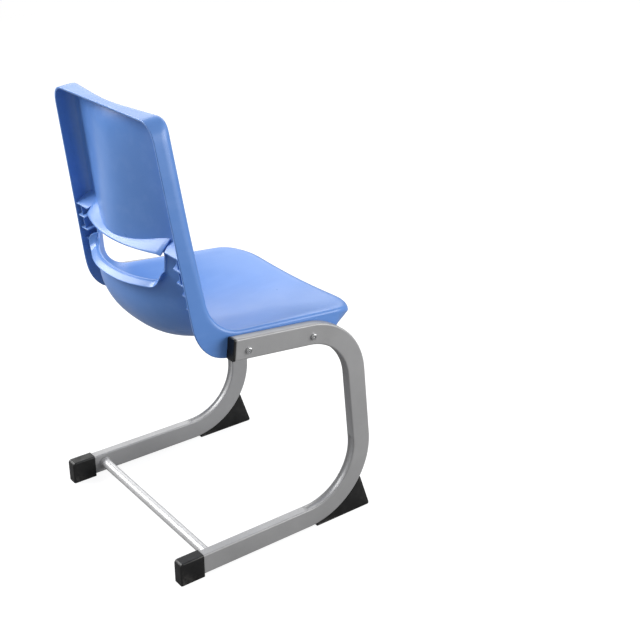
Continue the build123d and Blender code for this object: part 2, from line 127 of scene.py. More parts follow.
# depth of the skirt's free edge
SKIRT = [(0, 27), (20, 31), (50, 37), (135, 46), (272, 47), (290, 50), (304, 54), (325, 48.5),
         (348, 39), (361, 36.7), (RIM_RUN, 36.7)]
HALF_WIDTH = [(0, SHELL_HALF_WIDTH), (272, SHELL_HALF_WIDTH), (335, 194.5), (RIM_RUN, 170.5)]
# how round the dish is across: a high value is a plain arc, a low one has straighter flanks
CROWN = [(0, 0.9), (330, 0.9), (400, 0.5), (460, 0.3), (RIM_RUN, 0.3)]
# above 1 is a fuller bucket
FULLNESS = [(0, 1.0), (250, 1.0), (320, 1.3), (400, 1.3), (470, 1.0), (RIM_RUN, 1.0)]
# radius of the rolled rim at the sides
ROLL = [(0, 9), (60, 6), (270, 6), (320, 8), (400, 13), (500, 18), (RIM_RUN, 20)]
FRONT_ROLL = 24.0
TOP_ROLL = 8.0
# width of the band along the rim, and how far it falls to the crease at its inner edge
BAND = [(0, 30), (60, 28), (250, 16), (300, 16), (400, 26), (500, 31), (RIM_RUN, 31)]
BAND_STEP = [(0, 0.4), (40, 1.6), (90, 2.6), (300, 2.2), (400, 2.2), (RIM_RUN, 2.2)]
# how far the skirt leans in for each millimetre it drops
FRONT_RAKE = [(0, 0.7), (25, 0.6), (85, 0.0), (RIM_RUN, 0.0)]
SKIRT_LEAST = 3.0             # the skirt is at least this deep below the rolled rim

OPENING_HALF_WIDTH = 118.0
OPENING_BOTTOM = 398.0
OPENING_TOP = 452.0
OPENING_CORNER = 17.0
OPENING_TOP_CORNER = 7.0
OPENING_WALL = 7.5            # how far behind the sitter's face its plain edge reaches
OPENING_ROLL = 5.0            # radius of its rolled edge on the sitter's face
LIP_END = 415.0               # the turned-out lip stops here on both sides
LIP_DEPTH = 20.0
LIP_SIDE_REACH = 3.0          # extra reach of the lip at the sides
LIP_SPANS = 64                # along half of the lip
LIP_END_SPANS = 5.0           # spans over which each end rounds off
LIP_END_SHRINK = (0.3, 0.55)  # of the reach at the very end, outward and rearward
# (outward, rearward) round the lip's section, from its root inside the sheet
LIP_SECTION = [(0.9, 2.5), (0.4, 5.5), (0.4, 8.0), (1.2, 10.2), (2.8, 12.8), (4.7, 15.6),
               (6.3, 18.0), (7.3, 19.5), (8.4, 20.2), (9.4, 19.6), (9.3, 18.2), (7.8, 15.6),
               (6.0, 12.8), (4.6, 10.2), (4.0, 7.5), (4.0, 2.5)]
LEDGE_HALF_WIDTH = 131.0
LEDGE_THICKNESS = 3.2
LEDGE_ROOT_AT = [(0, 459.5), (30, 460), (50, 461.2), (68, 463.6), (87, 467), (105, 471), (131, 475.7)]
LEDGE_EDGE_AT = 453.5
LEDGE_EDGE_DEPTH = (64.5, 40.6)                   # below the rim, in the middle and at the ends
LEDGE_DROOP = 1.08                                # above 1, the slope grows towards the free edge
LEDGE_CURL = (2.0, 9.0)                           # how far the ends turn down, and over what length
LEDGE_SPANS = 80
# (share of the width, share of the thickness) round the ledge's section
LEDGE_SECTION = [(0.0, 0.0), (0.25, 0.0), (0.5, 0.0), (0.75, 0.0), (0.9, 0.03), (0.97, 0.16), (1.0, 0.5),
                 (0.97, 0.84), (0.9, 0.97), (0.75, 1.0), (0.5, 1.0), (0.25, 1.0), (0.0, 1.0)]
RIB_AT = (457.5, 434.0, 408.0, 384.0, 359.0)      # free edges of the ribs, from the top
RIB_SLOPE = (0.52, 0.42, 0.36, 0.30, 0.22)        # how steeply each falls to its free edge
RIB_THICKNESS = 2.4
RIB_REACH = 26.0
TOP_RIB_REACH = 44.0
RIB_TAPER = 10.0
RIB_INSET = (1.5, 1.5, 3.0, 8.0, 10.0)            # how far inside the skirt's free edge each stays
RIB_START = 0.55              # share of the skirt's depth at which a rib leaves it
RIB_GRIP = 0.4                # share of the sheet's thickness that a rib reaches into the skirt
RIB_SINK = 0.6                # share of the sheet's thickness that a rib reaches into the back
RIB_SPANS = 8
WEB_INSET = 14.0
WEB_RECESS = 4.0
WEB_STATIONS = 18
BOSS_STEPS = 40
BEAD_STEPS = (120, 14)        # round the tube, round the bead

# grid of the shell's mesh, and the cells of it that the opening takes
COLUMNS, ROWS = 36, 66
HOLE_COLUMNS = (7, 29)
HOLE_ROWS = (39, 44)
GRID_INSET = 8.0              # of the free points' first guess from the outline
QUARTER_STEPS = 24
SIDE_STEPS = 120
RIM_ANGLES = (22.5, 45, 67.5, 90)
SKIRT_STEPS = (0.2, 0.4, 0.6, 0.8, 0.94, 1.0)
OPENING_ANGLES = (30, 60, 90)
WALL_STEPS = (0.5, 1.0)
EDGE_CREASE = 0.55            # keeps the sheet's free edges from rounding off too far
SEAT_MIDDLE = 150.0


def along(pairs, s):
    """Smooth value at distance s, from (distance, value) pairs, that never overshoots them."""
    s = min(max(s, pairs[0][0]), pairs[-1][0])
    slopes = [(b[1] - a[1]) / (b[0] - a[0]) for a, b in zip(pairs, pairs[1:])]
    inner = [2 * p * q / (p + q) if p * q > 0 else 0.0 for p, q in zip(slopes, slopes[1:])]
    tangents = [slopes[0]] + inner + [slopes[-1]]
    i = max(k for k in range(len(slopes)) if pairs[k][0] <= s)
    gap = pairs[i + 1][0] - pairs[i][0]
    u = (s - pairs[i][0]) / gap
    start = (1 + 2 * u) * (1 - u) ** 2 * pairs[i][1] + u * (1 - u) ** 2 * gap * tangents[i]
    end = u * u * (3 - 2 * u) * pairs[i + 1][1] + u * u * (u - 1) * gap * tangents[i + 1]
    return start + end


def smoothstep(t):
    t = min(max(t, 0.0), 1.0)
    return t * t * (3 - 2 * t)


def rim_station(s):
    """Rim (y, z) at distance s and the unit direction from the dish up to the rim."""
    if s <= SEAT_RUN:
        step = s - SEAT_RUN
        return (RIM_CORNER_Y + step * math.cos(SEAT_RISE), RIM_CORNER_Z + step * math.sin(SEAT_RISE),
                -math.sin(SEAT_RISE), math.cos(SEAT_RISE))
    turn = min((s - SEAT_RUN) / RIM_CORNER_RADIUS, CORNER_TURN)
    past = max(s - BACK_FROM, 0.0)
    angle = SEAT_RISE + turn
    arc_y = RIM_CORNER_RADIUS * (math.sin(angle) - math.sin(SEAT_RISE))
    arc_z = RIM_CORNER_RADIUS * (math.cos(SEAT_RISE) - math.cos(angle))
    y = RIM_CORNER_Y + arc_y + past * math.sin(BACK_LEAN)
    z = RIM_CORNER_Z + arc_z + past * math.cos(BACK_LEAN)
    return y, z, -math.sin(angle), math.cos(angle)


def place(x, s, depth):
    """Point at x, distance s, this deep below the rim plane, in metres."""
    y, z, up_y, up_z = rim_station(s)
    return Vector((x, y - up_y * depth, z - up_z * depth)) * MM


def half_width(s):
    return along(HALF_WIDTH, s)


def pan_depth(x, s):
    """Depth of the sitter's face: a dish inside, a slightly raised band along the rim."""
    width, roll, band, step = half_width(s), along(ROLL, s), along(BAND, s), along(BAND_STEP, s)
    crown = along(CROWN, s)
    inner = width - band
    t = abs(x) / inner
    if t <= 1:
        rise = (math.hypot(crown, t) - crown) / (math.hypot(crown, 1) - crown)
        return step + (along(DISH, s) - step) * (1 - rise ** along(FULLNESS, s))
    return step * (1 - min((abs(x) - inner) / (band - roll), 1.0)) ** 2


def rim_roll(s, end):
    """Radius of the rolled rim, where end is how much the rim faces the front (negative) or the top."""
    side = along(ROLL, s)
    return side + ((TOP_ROLL if end > 0 else FRONT_ROLL) - side) * end * end


def sheet_middle(x, s):
    """Depth inside the sheet where ribs and webs end, rolled rim included."""
    roll = along(ROLL, s)
    past = min(max(abs(x) - half_width(s) + roll, 0.0), roll)
    return pan_depth(x, s) + roll - math.sqrt(roll * roll - past * past) + SHEET * RIB_SINK


def sample(path, count):
    """Points evenly spaced along a polyline of (x, s)."""
    path = np.array(path, float)
    length = np.r_[0, np.cumsum(np.hypot(*np.diff(path, axis=0).T))]
    at = np.linspace(0, length[-1], count + 1)
    return np.c_[np.interp(at, length, path[:, 0]), np.interp(at, length, path[:, 1])]


def quarter(centre_x, centre_s, radius, start, end, width):
    """Arc points; width adds a shift in x that follows s."""
    points = []
    for k in range(QUARTER_STEPS + 1):
        a = math.radians(start + (end - start) * k / QUARTER_STEPS)
        s = centre_s + radius * math.sin(a)
        points.append((centre_x + width(s) + radius * math.cos(a), s))
    return points


def loop_sides(bottom, top, width, bottom_radius, top_radius):
    """The right half of a rounded outline, cut at the middles of its corners: bottom, side, top."""
    low = quarter(-bottom_radius, bottom + bottom_radius, bottom_radius, -90, 0, width)
    high = quarter(-top_radius, top - top_radius, top_radius, 0, 90, width)
    steps = np.linspace(bottom + bottom_radius, top - top_radius, SIDE_STEPS)
    side = [(width(s), s) for s in steps]
    half = QUARTER_STEPS // 2
    right = low[half:] + side[1:-1] + high[:half + 1]
    return [(0.0, bottom)] + low[:half + 1], right, high[half:] + [(0.0, top)]


def opening_sides():
    """The right half of the opening's outline."""
    return loop_sides(OPENING_BOTTOM, OPENING_TOP, lambda s: OPENING_HALF_WIDTH,
                      OPENING_CORNER, OPENING_TOP_CORNER)


def closed_loop(parts, columns, rows):
    """Vertices of a grid's boundary, from the bottom left corner anticlockwise, with outward normals."""
    bottom = sample(parts[0], columns // 2)
    side = sample(parts[1], rows)
    top = sample(parts[2], columns // 2)
    right = np.r_[bottom, side[1:], top[1:]]
    left = right[::-1] * [-1, 1]
    loop = np.r_[right, left[1:-1]]
    loop = np.roll(loop, columns // 2, axis=0)
    ahead = np.roll(loop, -1, axis=0) - np.roll(loop, 1, axis=0)
    normal = np.c_[ahead[:, 1], -ahead[:, 0]]
    return loop, normal / np.hypot(*normal.T)[:, None]


def loop_cells(columns, rows, first_column=0, first_row=0):
    """Grid cells (i, j) of that boundary, in the same order."""
    cells = [(i, 0) for i in range(columns)]
    cells += [(columns, j) for j in range(rows)]
    cells += [(columns - i, rows) for i in range(columns)]
    cells += [(0, rows - j) for j in range(rows)]
    return [(i + first_column, j + first_row) for i, j in cells]


def relax(grid, fixed, skip, rounds=400):
    """Evens out the free points of the grid between the fixed ones."""
    free = ~(fixed | skip)
    for _ in range(rounds):
        mean = sum(np.roll(grid, shift, axis) for axis in (0, 1) for shift in (1, -1)) / 4
        grid = np.where(free[..., None], mean, grid)
    return grid


# ---------------------------------------------------------------- mesh helpers

def new_object(name, verts, faces, smooth=True):
    """Adds a mesh object whose faces point outward."""
    mesh = bpy.data.meshes.new(name)
    mesh.from_pydata([tuple(v) for v in verts], [], faces)
    mesh.update()
    clean = bmesh.new()
    clean.from_mesh(mesh)
    bmesh.ops.recalc_face_normals(clean, faces=clean.faces)
    clean.to_mesh(mesh)
    clean.free()
    for polygon in mesh.polygons:
        polygon.use_smooth = smooth
    obj = bpy.data.objects.new(name, mesh)
    bpy.context.scene.collection.objects.link(obj)
    return obj


def row_faces(rows, count, base=0, closed=False):
    """Faces between rows of points, with a cap at both ends unless the last row meets the first."""
    faces = []
    for k in range(rows if closed else rows - 1):
        here, there = base + k * count, base + (k + 1) % rows * count
        for p in range(count):
            q = (p + 1) % count
            faces.append((here + p, here + q, there + q, there + p))
    if not closed:
        faces.append(tuple(range(base, base + count)))
        faces.append(tuple(range(base + (rows - 1) * count, base + rows * count)))
    return faces


def x_reach(low, high):
    """Least and greatest distance of a box from the chair's middle plane."""
    return min(abs(low.x), abs(high.x)), max(abs(low.x), abs(high.x))


def turned(x, centre, radius, angle):
    """Point at this x, radius and angle round an axis along X through the centre, in metres."""
    return Vector((x, centre.y + radius * math.cos(angle), centre.z + radius * math.sin(angle))) * MM


def settle(obj):
    """Applies the object's modifiers to its mesh."""
    depsgraph = bpy.context.evaluated_depsgraph_get()
    mesh = bpy.data.meshes.new_from_object(obj.evaluated_get(depsgraph))
    obj.modifiers.clear()
    old = obj.data
    obj.data = mesh
    mesh.name = obj.name
    bpy.data.meshes.remove(old)


def modifier(obj, kind, **settings):
    """Adds a modifier with these settings."""
    m = obj.modifiers.new(kind.title(), kind)
    for key, value in settings.items():
        setattr(m, key, value)


def finish_piece(obj, material, replaced=None):
    """Gives a new piece its material and body, and hides the CAD node that it stands for."""
    obj.data.materials.clear()
    obj.data.materials.append(material)
    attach(obj, BODY)
    if replaced:
        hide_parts(replaced)


# ---------------------------------------------------------------- materials

class Nodes:
    """Short way to write a node tree."""

    def __init__(self, name):
        self.material = bpy.data.materials.new(name)
        self.material.use_nodes = True
        self.tree = self.material.node_tree
        self.tree.nodes.clear()
        self.out = self.tree.nodes.new("ShaderNodeOutputMaterial")
        self.coords = self.tree.nodes.new("ShaderNodeTexCoord").outputs["Object"]

    def node(self, kind, **settings):
        """New shader node; settings that start with in_ go to its inputs."""
        n = self.tree.nodes.new("ShaderNode" + kind)
        for key, value in settings.items():
            if key.startswith("in_"):
                self.put(n.inputs[key[3:].replace("_", " ")], value)
            else:
                setattr(n, key, value)
        return n

    def put(self, socket, value):
        if isinstance(value, bpy.types.NodeSocket):
            self.tree.links.new(value, socket)
        else:
            socket.default_value = value

    def noise(self, scale, detail=3.0, roughness=0.5, stretch=(1, 1, 1), distortion=0.0):
        mapping = self.node("Mapping", in_Vector=self.coords, in_Scale=stretch)
        return self.node("TexNoise", in_Vector=mapping.outputs[0], in_Scale=scale, in_Detail=detail,
                         in_Roughness=roughness, in_Distortion=distortion).outputs["Fac"]

    def patches(self, to_low, to_high, *noise):
        """Soft patches of a noise, between two values."""
        return self.span(self.noise(*noise), 0.3, 0.7, to_low, to_high)

    def span(self, value, low, high, to_low, to_high):
        return self.node("MapRange", in_Value=value, in_From_Min=low, in_From_Max=high,
                         in_To_Min=to_low, in_To_Max=to_high).outputs["Result"]

    def math(self, operation, a, b=0.0):
        n = self.node("Math", operation=operation)
        self.put(n.inputs[0], a)
        self.put(n.inputs[1], b)
        return n.outputs[0]

    def mix(self, factor, a, b):
        """Mix of two colours; the node's colour sockets are inputs 6 and 7 and output 2."""
        n = self.node("Mix", data_type="RGBA")
        self.put(n.inputs["Factor"], factor)
        self.put(n.inputs[6], a)
        self.put(n.inputs[7], b)
        return n.outputs[2]

    def bump(self, height, strength, distance, normal=None):
        n = self.node("Bump", in_Height=height, in_Strength=strength, in_Distance=distance)
        if normal is not None:
            self.put(n.inputs["Normal"], normal)
        return n.outputs[0]

    def edges(self, low, high):
        """1 on convex edges, 0 on flats."""
        point = self.node("NewGeometry").outputs["Pointiness"]
        return self.span(point, low, high, 0.0, 1.0)

    def surface(self, **inputs):
        """Ends the tree with a principled shader and returns the material."""
        shader = self.node("BsdfPrincipled")
        for key, value in inputs.items():
            self.put(shader.inputs[key.replace("_", " ")], value)
        self.tree.links.new(shader.outputs[0], self.out.inputs[0])
        return self.material


def rgb(r, g, b):
    return (r, g, b, 1.0)


def blue_plastic():
    """Gloss blue moulded plastic: even colour, fine grain, faint scuffs."""
    n = Nodes("blue_plastic")
    colour = n.mix(n.patches(0.0, 1.0, 7.0, 4.0), rgb(0.106, 0.258, 0.650), rgb(0.124, 0.288, 0.705))
    scuff = n.span(n.noise(44.0, 3.0, 0.6, (1, 0.22, 1)), 0.50, 0.75, 0.0, 1.0)
    colour = n.mix(n.math("MULTIPLY", scuff, 0.12), colour, rgb(0.30, 0.46, 0.86))
    wear = n.math("MULTIPLY", n.edges(0.53, 0.62), n.span(n.noise(60.0, 5.0), 0.42, 0.62, 0.05, 0.35))
    colour = n.mix(wear, colour, rgb(0.36, 0.52, 0.90))
    roughness = n.math("ADD", n.patches(0.27, 0.36, 16.0, 5.0), n.math("MULTIPLY", scuff, 0.07))
    fine = n.bump(n.noise(1400.0, 2.0), 0.16, 0.00012)
    wavy = n.bump(n.noise(26.0, 2.0), 0.10, 0.0006, fine)
    return n.surface(Base_Color=colour, Roughness=roughness, Normal=wavy, IOR=1.49,
                     Coat_Weight=0.12, Coat_Roughness=0.16)


def grey_paint(name, roughness_low, roughness_high, lightness):
    """Silver-grey baked paint over steel: speckle, orange peel, lighter worn edges. A lightness above 1
    lightens the whole colour as painted highlight.
    """
    n = Nodes(name)
    speck = n.noise(2600.0, 1.0, 0.5)
    darker = rgb(0.355 * lightness, 0.355 * lightness, 0.358 * lightness)
    lighter = rgb(0.405 * lightness, 0.405 * lightness, 0.408 * lightness)
    colour = n.mix(n.patches(0.0, 1.0, 11.0, 5.0, 0.6), darker, lighter)
    colour = n.mix(n.span(speck, 0.58, 0.72, 0.0, 0.35), colour, rgb(0.50, 0.50, 0.51))
    wear = n.math("MULTIPLY", n.edges(0.53, 0.60), n.span(n.noise(90.0, 6.0, 0.6), 0.45, 0.62, 0.0, 0.45))
    colour = n.mix(wear, colour, rgb(0.46, 0.46, 0.46))
    scratch = n.span(n.noise(55.0, 9.0, 0.75, (1, 0.12, 1), 0.6), 0.66, 0.78, 0.0, 0.4)
    colour = n.mix(scratch, colour, rgb(0.36, 0.36, 0.365))
    roughness = n.patches(roughness_low, roughness_high, 40.0, 5.0)
    peel = n.bump(n.noise(520.0, 2.0), 0.22, 0.0002)
    return n.surface(Base_Color=colour, Roughness=roughness, Metallic=0.22, Normal=peel, IOR=1.5)


def black_plastic():
    """Semi-matt black moulded plastic with a leathery grain and paler rubbed edges."""
    n = Nodes("black_plastic")
    colour = n.mix(n.patches(0.0, 1.0, 30.0, 5.0), rgb(0.004, 0.004, 0.004), rgb(0.008, 0.008, 0.008))
    wear = n.math("MULTIPLY", n.edges(0.52, 0.60), n.span(n.noise(140.0, 6.0, 0.65), 0.40, 0.62, 0.1, 0.75))
    colour = n.mix(wear, colour, rgb(0.075, 0.072, 0.070))
    dust = n.span(n.noise(24.0, 7.0, 0.7), 0.52, 0.75, 0.0, 0.25)
    colour = n.mix(dust, colour, rgb(0.024, 0.023, 0.022))
    roughness = n.patches(0.36, 0.54, 70.0, 5.0)
    cells = n.node("TexVoronoi", in_Vector=n.coords, in_Scale=850.0).outputs["Distance"]
    return n.surface(Base_Color=colour, Roughness=roughness, Normal=n.bump(cells, 0.22, 0.00018))


def zinc_steel():
    """Bright zinc-plated screw steel, turned marks and slight stain."""
    n = Nodes("zinc_steel")
    stain = n.span(n.noise(260.0, 5.0, 0.6), 0.4, 0.7, 0.0, 1.0)
    colour = n.mix(stain, rgb(0.74, 0.75, 0.77), rgb(0.52, 0.52, 0.50))
    roughness = n.patches(0.16, 0.34, 420.0, 4.0)
    lines = n.noise(900.0, 3.0, 0.6, (0.1, 1, 1))
    return n.surface(Base_Color=colour, Metallic=1.0, Roughness=roughness, Normal=n.bump(lines, 0.12, 0.0001))


def brass():
    """Dull turned brass with darker tarnish."""
    n = Nodes("insert_brass")
    tarnish = n.span(n.noise(300.0, 5.0), 0.4, 0.7, 0.0, 1.0)
    colour = n.mix(tarnish, rgb(0.72, 0.52, 0.22), rgb(0.42, 0.28, 0.11))
    roughness = n.patches(0.26, 0.46, 500.0, 4.0)
    knurl = n.noise(1500.0, 2.0, 0.5, (1, 0.2, 1))
    return n.surface(Base_Color=colour, Metallic=1.0, Roughness=roughness, Normal=n.bump(knurl, 0.2, 0.0001))


BLUE = blue_plastic()
PAINT = grey_paint("frame_paint", 0.34, 0.44, 1.0)
# the cross tube has the frame's paint made 1.6 times lighter: painted highlight for the shine along the round
# tube
TUBE_PAINT_PAINTED_HIGHLIGHT = grey_paint("cross_tube_paint_painted_highlight", 0.22, 0.32, 1.6)
BLACK = black_plastic()
ZINC = zinc_steel()
BRASS = brass()


# ---------------------------------------------------------------- the seat shell

def shell_grid():
    """Positions (x, s) of the grid inside the rolled rim, with its hole, and the two boundaries."""
    rim = loop_sides(0.0, RIM_RUN, half_width, PLAN_CORNER_RADIUS, TOP_CORNER_RADIUS)
    outline, normal = closed_loop(rim, COLUMNS, ROWS)
    hole_columns = HOLE_COLUMNS[1] - HOLE_COLUMNS[0]
    hole_rows = HOLE_ROWS[1] - HOLE_ROWS[0]
    edge, away = closed_loop(opening_sides(), hole_columns, hole_rows)

    grid = np.zeros((COLUMNS + 1, ROWS + 1, 2))
    for i in range(COLUMNS + 1):
        for j in range(ROWS + 1):
            s = GRID_INSET + (RIM_RUN - 2 * GRID_INSET) * j / ROWS
            grid[i, j] = ((half_width(s) - GRID_INSET) * (2 * i / COLUMNS - 1), s)
    fixed = np.zeros(grid.shape[:2], bool)
    skip = np.zeros(grid.shape[:2], bool)
    for (i, j), point, n in zip(loop_cells(COLUMNS, ROWS), outline, normal):
        grid[i, j] = point - n * rim_roll(point[1], n[1])
        fixed[i, j] = True
    cells = loop_cells(hole_columns, hole_rows, HOLE_COLUMNS[0], HOLE_ROWS[0])
    for (i, j), point, n in zip(cells, edge, away):
        grid[i, j] = point + n * OPENING_ROLL
        fixed[i, j] = True
    skip[HOLE_COLUMNS[0] + 1:HOLE_COLUMNS[1], HOLE_ROWS[0] + 1:HOLE_ROWS[1]] = True
    return relax(grid, fixed, skip), skip, (outline, normal), (edge, away, cells)


def shell_piece():
    """The moulding's sheet: seat and back in one, with its rolled rim, skirt and opening."""
    grid, skip, (outline, normal), (edge, away, hole_cells) = shell_grid()
    verts, faces, index = [], [], {}
    for i in range(COLUMNS + 1):
        for j in range(ROWS + 1):
            if not skip[i, j]:
                x, s = grid[i, j]
                index[i, j] = len(verts)
                verts.append(place(x, s, pan_depth(x, s)))
    for i in range(COLUMNS):
        for j in range(ROWS):
            inside = HOLE_COLUMNS[0] <= i < HOLE_COLUMNS[1] and HOLE_ROWS[0] <= j < HOLE_ROWS[1]
            if not inside:
                faces.append((index[i, j], index[i + 1, j], index[i + 1, j + 1], index[i, j + 1]))

    def ring(before, points):
        """Adds a closed row of points and the faces that join it to the row before."""
        first, count = len(verts), len(points)
        verts.extend(points)
        new = list(range(first, first + count))
        for k in range(count):
            q = (k + 1) % count
            faces.append((before[k], before[q], new[q], new[k]))
        return new

    # rolled rim, then the skirt
    row = [index[c] for c in loop_cells(COLUMNS, ROWS)]
    crest = [grid[c] for c in loop_cells(COLUMNS, ROWS)]
    base = [pan_depth(x, s) for x, s in crest]
    for angle in map(math.radians, RIM_ANGLES):
        points = []
        for point, n, depth in zip(outline, normal, base):
            roll = rim_roll(point[1], n[1])
            x, s = point - n * roll * (1 - math.sin(angle))
            points.append(place(x, s, depth + roll * (1 - math.cos(angle))))
        row = ring(row, points)
    for step in SKIRT_STEPS:
        points = []
        for point, n, depth in zip(outline, normal, base):
            top = depth + rim_roll(point[1], n[1])
            foot = max(along(SKIRT, point[1]), top + SKIRT_LEAST)
            drop = (foot - top) * step
            x, s = point - n * along(FRONT_RAKE, point[1]) * drop
            points.append(place(x, s, top + drop))
        row = ring(row, points)

    # rolled edge of the opening, then its short wall
    row = [index[c] for c in hole_cells]
    base = [pan_depth(*grid[c]) for c in hole_cells]
    for angle in map(math.radians, OPENING_ANGLES):
        points = []
        for point, n, depth in zip(edge, away, base):
            x, s = point + n * OPENING_ROLL * (1 - math.sin(angle))
            points.append(place(x, s, depth + OPENING_ROLL * (1 - math.cos(angle))))
        row = ring(row, points)
    for step in WALL_STEPS:
        wall = OPENING_ROLL + (OPENING_WALL - OPENING_ROLL) * step
        row = ring(row, [place(x, s, depth + wall) for (x, s), depth in zip(edge, base)])

    shell = new_object("seat_shell_moulding", verts, faces)
    # normals face the sitter, so the sheet's thickness goes behind
    seat = place(0, SEAT_MIDDLE, along(DISH, SEAT_MIDDLE))
    pan = min(shell.data.polygons, key=lambda p: (p.center - seat).length)
    if pan.normal.z < 0:
        shell.data.flip_normals()
    modifier(shell, "SOLIDIFY", thickness=SHEET * MM, offset=-1.0, use_even_offset=True,
             use_quality_normals=True, edge_crease_rim=0.0, edge_crease_outer=EDGE_CREASE,
             edge_crease_inner=EDGE_CREASE)
    modifier(shell, "SUBSURF", levels=1, render_levels=1, subdivision_type="CATMULL_CLARK")
    settle(shell)
    for polygon in shell.data.polygons:
        polygon.use_smooth = True
    finish_piece(shell, BLUE, "seat_shell")


def lip_piece():
    """Turned-out lip round the bottom and sides of the opening, thin and rounded, with plain ends."""
    bottom, side = opening_sides()[:2]
    path = sample(bottom + [p for p in side[1:] if p[1] <= LIP_END], LIP_SPANS)
    path = np.r_[(path * [-1, 1])[:0:-1], path]
    ahead = np.gradient(path, axis=0)
    away = np.c_[ahead[:, 1], -ahead[:, 0]] / np.hypot(*ahead.T)[:, None]
    verts = []
    for k, (point, n) in enumerate(zip(path, away)):
        base = pan_depth(*(point + n * OPENING_ROLL))
        from_end = min(k, len(path) - 1 - k)
        rounding = math.sqrt(1 - (1 - min(from_end / LIP_END_SPANS, 1.0)) ** 2)
        for out, rear in LIP_SECTION:
            rear = rear * (1 + LIP_SIDE_REACH / LIP_DEPTH * n[0] ** 2)
            past = max(rear - OPENING_WALL, 0.0)
            x, s = point + n * (out - (1 - rounding) * past * LIP_END_SHRINK[0])
            verts.append(place(x, s, base + rear - (1 - rounding) * past * LIP_END_SHRINK[1]))
    lip = new_object("opening_lip", verts, row_faces(len(path), len(LIP_SECTION)))
    modifier(lip, "SUBSURF", levels=1, render_levels=1, subdivision_type="CATMULL_CLARK")
    settle(lip)
    finish_piece(lip, BLUE)


def ledge_piece():
    """Grip along the top of the opening: a thin crescent that slopes down to the rear."""
    verts = []
    middle, end = LEDGE_EDGE_DEPTH
    turn_down, turn_length = LEDGE_CURL
    for k in range(LEDGE_SPANS + 1):
        x = LEDGE_HALF_WIDTH * (2 * k / LEDGE_SPANS - 1)
        root_at = along(LEDGE_ROOT_AT, abs(x))
        root = pan_depth(x, root_at) + SHEET * 0.5
        edge = middle + (end - middle) * (x / LEDGE_HALF_WIDTH) ** 2
        curl = turn_down * smoothstep((abs(x) - LEDGE_HALF_WIDTH + turn_length) / turn_length)
        for across, down in LEDGE_SECTION:
            s = root_at + (LEDGE_EDGE_AT - root_at) * across ** LEDGE_DROOP - curl * (0.3 + 0.7 * across)
            verts.append(place(x, s - down * LEDGE_THICKNESS, root + (edge - root) * across))
    ledge = new_object("rear_grip_ledge", verts, row_faces(LEDGE_SPANS + 1, len(LEDGE_SECTION)))
    modifier(ledge, "BEVEL", width=0.8 * MM, segments=3, limit_method="ANGLE", angle_limit=math.radians(50))
    settle(ledge)
    finish_piece(ledge, BLUE)


def plate(outline, thickness):
    """Closed thin plate from a polygon of points and a thickness vector."""
    count = len(outline)
    verts = list(outline) + [p + thickness for p in outline]
    faces = [tuple(range(count)), tuple(range(2 * count - 1, count - 1, -1))]
    for k in range(count):
        faces.append((k, (k + 1) % count, count + (k + 1) % count, count + k))
    return verts, faces


def inner_width(s):
    return half_width(s) - SHEET


def rib_outline(s, side, reach, slope, inset):
    """Rib between the skirt and the back of the sheet, falling to its free edge at s."""
    inner = inner_width(s)
    foot = along(SKIRT, s) - inset
    tip = inner - reach
    root = tip - RIB_TAPER

    def at(depth):
        return s + slope * (foot - depth)

    in_skirt = inner + SHEET * RIB_GRIP
    points = [(in_skirt, foot * RIB_START), (in_skirt, foot), (tip, foot)]
    for k in range(RIB_SPANS + 1):
        x = root + (inner - SHEET - root) * k / RIB_SPANS
        depth = sheet_middle(x, at(sheet_middle(x, s)))
        points.append((x, depth))
    return [place(side * x, at(depth), depth) for x, depth in points]


def ribs_piece(name, side):
    """The row of flat ribs behind one side of the back, tied by an upright web."""
    verts, faces = [], []

    def add(part):
        base = len(verts)
        verts.extend(part[0])
        faces.extend(tuple(base + k for k in f) for f in part[1])

    for s, slope, inset in zip(RIB_AT, RIB_SLOPE, RIB_INSET):
        up_y, up_z = rim_station(s)[2:]
        thickness = Vector((0, -up_z, up_y)) * RIB_THICKNESS * MM
        reach = TOP_RIB_REACH if s == RIB_AT[0] else RIB_REACH
        add(plate(rib_outline(s, side, reach, slope, inset), thickness))
    low, high = RIB_AT[2], RIB_AT[0]
    x = inner_width((low + high) / 2) - WEB_INSET
    near = side * (x - RIB_THICKNESS / 2)
    stations = np.linspace(low, high, WEB_STATIONS)
    front = [place(near, s, sheet_middle(x, s)) for s in stations]
    rear = [place(near, s, along(SKIRT, s) - WEB_RECESS) for s in stations]
    add(plate(front + rear[::-1], Vector((side * RIB_THICKNESS * MM, 0, 0))))
    ribs = new_object(f"{name}_back_ribs", verts, faces, smooth=False)
    modifier(ribs, "BEVEL", width=0.35 * MM, segments=2, limit_method="ANGLE", angle_limit=math.radians(40))
    settle(ribs)
    finish_piece(ribs, BLUE)


def boss_piece(name, side):
    """Two tapered bosses inside the skirt that carry the threaded inserts."""
    verts, faces = [], []
    for where in ("rear", "front"):
        low, high = node_box_mm(f"{name}_{where}_seat_insert")
        centre = (low + high) / 2
        inner, outer = x_reach(low, high)
        # (x, radius) round the boss's section, from the rim of its bore outward and back along the bore
        section = [(inner - 5.2, 5.2), (inner - 6.0, 6.2), (inner - 5.4, 7.2), (inner - 4, 7.6),
                   (outer - 8, 8.0), (outer - 5, 9.2), (outer - 2, 12.0), (outer - 2, 5.0),
                   (outer - 8, 4.7), (inner, 4.7)]
        base = len(verts)
        for k in range(BOSS_STEPS):
            angle = 2 * math.pi * k / BOSS_STEPS
            verts += [turned(side * x, centre, radius, angle) for x, radius in section]
        faces += row_faces(BOSS_STEPS, len(section), base, closed=True)
    boss = new_object(f"{name}_bolt_bosses", verts, faces)
    finish_piece(boss, BLUE)


# ---------------------------------------------------------------- side frames

